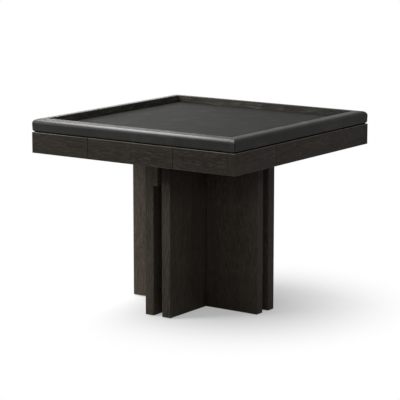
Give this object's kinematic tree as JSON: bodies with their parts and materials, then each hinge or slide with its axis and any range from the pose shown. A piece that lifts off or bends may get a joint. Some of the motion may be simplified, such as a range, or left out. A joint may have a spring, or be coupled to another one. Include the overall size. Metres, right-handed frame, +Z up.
{
  "type": "mahjong table",
  "caption": "Square mahjong table with a recessed leather playing well, padded leather rim, flush drawers in the apron and a slotted cross-shaped pedestal base.",
  "frame": {"origin": "on the floor under the middle of the table", "axes": "+Z up, +Y towards the back side, +X towards the right side"},
  "size_m": [0.955, 0.955, 0.7618],
  "materials": {
    "stained_oak": "oak, espresso stain under a satin lacquer",
    "lining_wood": "stained wood strip, satin",
    "plain_wood": "clear-lacquered hardwood and plywood",
    "rim_leather": "black leather, satin sheen",
    "playing_leather": "charcoal leather, matt",
    "steel": "zinc plated",
    "glide_plastic": "black nylon"
  },
  "bodies": {
    "table": {"leaf_front_through": "stained_oak", "leaf_front_butted": "stained_oak", "slot_rail_front": "stained_oak", "apron_front_long": "stained_oak", "apron_front_short": "stained_oak", "dividers_front": "plain_wood", "rim_front": "rim_leather", "lining_front": "lining_wood", "leaf_right_through": "stained_oak", "leaf_right_butted": "stained_oak", "slot_rail_right": "stained_oak", "apron_right_long": "stained_oak", "apron_right_short": "stained_oak", "dividers_right": "plain_wood", "rim_right": "rim_leather", "lining_right": "lining_wood", "leaf_back_through": "stained_oak", "leaf_back_butted": "stained_oak", "slot_rail_back": "stained_oak", "apron_back_long": "stained_oak", "apron_back_short": "stained_oak", "dividers_back": "plain_wood", "rim_back": "rim_leather", "lining_back": "lining_wood", "leaf_left_through": "stained_oak", "leaf_left_butted": "stained_oak", "slot_rail_left": "stained_oak", "apron_left_long": "stained_oak", "apron_left_short": "stained_oak", "dividers_left": "plain_wood", "rim_left": "rim_leather", "lining_left": "lining_wood", "core_post": "stained_oak", "glides": "glide_plastic", "mounting_plate": "steel", "base_bolts": "steel", "dust_panel": "stained_oak", "corner_blocks": "plain_wood", "deck": "plain_wood", "rim_screws": "steel", "playing_board": "plain_wood", "playing_leather": "playing_leather", "drawer_runners": "plain_wood", "drawer_stops": "plain_wood"},
    "drawer_front": {"drawer_front_face": "stained_oak", "drawer_front_sides": "plain_wood", "drawer_front_back": "plain_wood", "drawer_front_bottom": "plain_wood"},
    "drawer_right": {"drawer_right_face": "stained_oak", "drawer_right_sides": "plain_wood", "drawer_right_back": "plain_wood", "drawer_right_bottom": "plain_wood"},
    "drawer_back": {"drawer_back_face": "stained_oak", "drawer_back_sides": "plain_wood", "drawer_back_back": "plain_wood", "drawer_back_bottom": "plain_wood"},
    "drawer_left": {"drawer_left_face": "stained_oak", "drawer_left_sides": "plain_wood", "drawer_left_back": "plain_wood", "drawer_left_bottom": "plain_wood"}
  },
  "joints": [
    {"name": "drawer_front_slide", "type": "slide", "parent": "table", "child": "drawer_front", "axis": [0, -1, 0], "range_m": [0, 0.15]},
    {"name": "drawer_right_slide", "type": "slide", "parent": "table", "child": "drawer_right", "axis": [1, 0, 0], "range_m": [0, 0.15]},
    {"name": "drawer_back_slide", "type": "slide", "parent": "table", "child": "drawer_back", "axis": [0, 1, 0], "range_m": [0, 0.15]},
    {"name": "drawer_left_slide", "type": "slide", "parent": "table", "child": "drawer_left", "axis": [-1, 0, 0], "range_m": [0, 0.15]}
  ]
}
